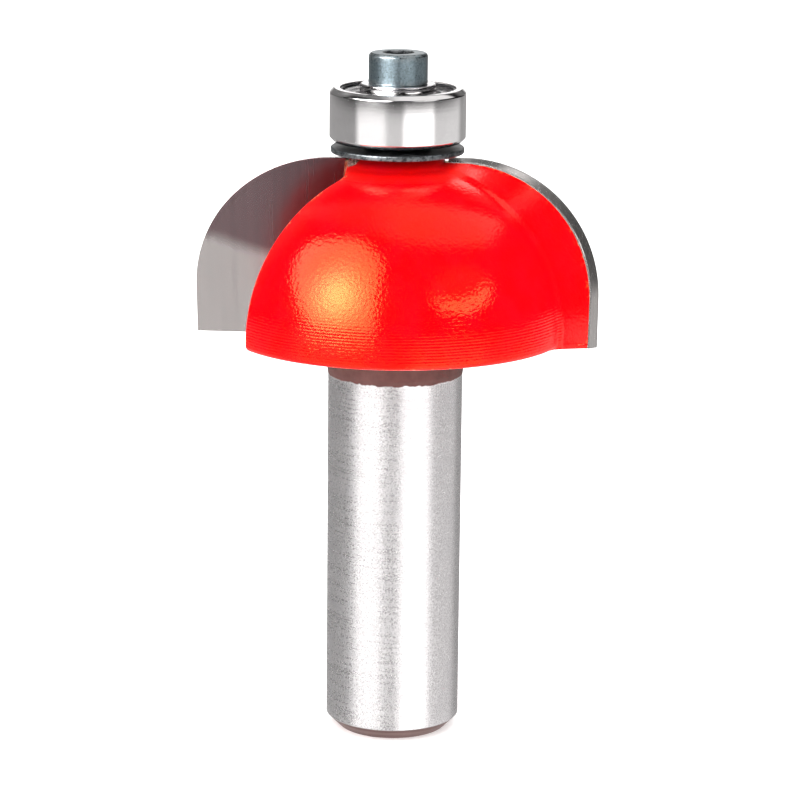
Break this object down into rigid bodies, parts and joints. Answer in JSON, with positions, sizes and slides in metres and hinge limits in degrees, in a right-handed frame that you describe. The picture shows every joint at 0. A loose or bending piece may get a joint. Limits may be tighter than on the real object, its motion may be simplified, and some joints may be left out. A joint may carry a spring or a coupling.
{
  "type": "router bit",
  "caption": "Cove router bit with a guide bearing on its end: round cutting head with brazed carbide tips on a straight shank, the bearing held by a socket head screw.",
  "frame": {"origin": "centre of the shank's end face, on the axis of rotation", "axes": "+Z along the axis from the shank towards the guide bearing; the two cutting tips lie along +X and -X"},
  "size_m": [0.038, 0.0324, 0.065],
  "materials": {
    "red_enamel": "glossy enamel on the head, ground steel on the shank",
    "carbide": "ground, satin",
    "braze": "silver braze, satin",
    "black_steel": "black oxide, worn bright on the rim",
    "bearing_steel": "ground and polished",
    "cage_steel": "pressed, satin",
    "shield_steel": "pressed, satin",
    "spring_steel": "drawn wire",
    "bright_steel": "bright",
    "black_oxide": "blue-black oxide, satin",
    "ball_steel": "polished"
  },
  "bodies": {
    "cutter": {"body": "red_enamel", "carbide_tip_1": "carbide", "carbide_tip_2": "carbide", "braze_film_1": "braze", "braze_film_2": "braze", "dust_washer": "black_steel", "bearing_inner_ring": "bearing_steel", "lock_washer": "bright_steel", "cap_screw": "black_oxide"},
    "guide_rim": {"bearing_outer_ring": "bearing_steel", "bearing_shield_top": "shield_steel", "bearing_shield_bottom": "shield_steel", "shield_snap_ring_top": "spring_steel", "shield_snap_ring_bottom": "spring_steel"},
    "cage": {"ball_cage": "cage_steel"},
    "ball_1": {"bearing_ball_1": "ball_steel"},
    "ball_2": {"bearing_ball_2": "ball_steel"},
    "ball_3": {"bearing_ball_3": "ball_steel"},
    "ball_4": {"bearing_ball_4": "ball_steel"},
    "ball_5": {"bearing_ball_5": "ball_steel"},
    "ball_6": {"bearing_ball_6": "ball_steel"},
    "ball_7": {"bearing_ball_7": "ball_steel"}
  },
  "joints": [
    {"name": "bearing_spin", "type": "hinge", "parent": "cutter", "child": "guide_rim", "pos_m": [0, 0, 0.05923], "axis": [0, 0, 1], "continuous": true},
    {"name": "cage_spin", "type": "hinge", "parent": "cutter", "child": "cage", "pos_m": [0, 0, 0.05923], "axis": [0, 0, 1], "continuous": true},
    {"name": "ball_1_spin", "type": "hinge", "parent": "cage", "child": "ball_1", "pos_m": [0, 0.00436, 0.05923], "axis": [0, 0, 1], "continuous": true},
    {"name": "ball_2_spin", "type": "hinge", "parent": "cage", "child": "ball_2", "pos_m": [-0.00341, 0.00272, 0.05923], "axis": [0, 0, 1], "continuous": true},
    {"name": "ball_3_spin", "type": "hinge", "parent": "cage", "child": "ball_3", "pos_m": [-0.00426, -0.00097, 0.05923], "axis": [0, 0, 1], "continuous": true},
    {"name": "ball_4_spin", "type": "hinge", "parent": "cage", "child": "ball_4", "pos_m": [-0.00189, -0.00393, 0.05923], "axis": [0, 0, 1], "continuous": true},
    {"name": "ball_5_spin", "type": "hinge", "parent": "cage", "child": "ball_5", "pos_m": [0.00189, -0.00393, 0.05923], "axis": [0, 0, 1], "continuous": true},
    {"name": "ball_6_spin", "type": "hinge", "parent": "cage", "child": "ball_6", "pos_m": [0.00426, -0.00097, 0.05923], "axis": [0, 0, 1], "continuous": true},
    {"name": "ball_7_spin", "type": "hinge", "parent": "cage", "child": "ball_7", "pos_m": [0.00341, 0.00272, 0.05923], "axis": [0, 0, 1], "continuous": true}
  ],
  "couplings": [
    {"joint": "cage_spin", "follows": "bearing_spin", "ratio": 0.63517},
    {"joint": "ball_1_spin", "follows": "bearing_spin", "ratio": 1.7144},
    {"joint": "ball_2_spin", "follows": "bearing_spin", "ratio": 1.7144},
    {"joint": "ball_3_spin", "follows": "bearing_spin", "ratio": 1.7144},
    {"joint": "ball_4_spin", "follows": "bearing_spin", "ratio": 1.7144},
    {"joint": "ball_5_spin", "follows": "bearing_spin", "ratio": 1.7144},
    {"joint": "ball_6_spin", "follows": "bearing_spin", "ratio": 1.7144},
    {"joint": "ball_7_spin", "follows": "bearing_spin", "ratio": 1.7144}
  ]
}
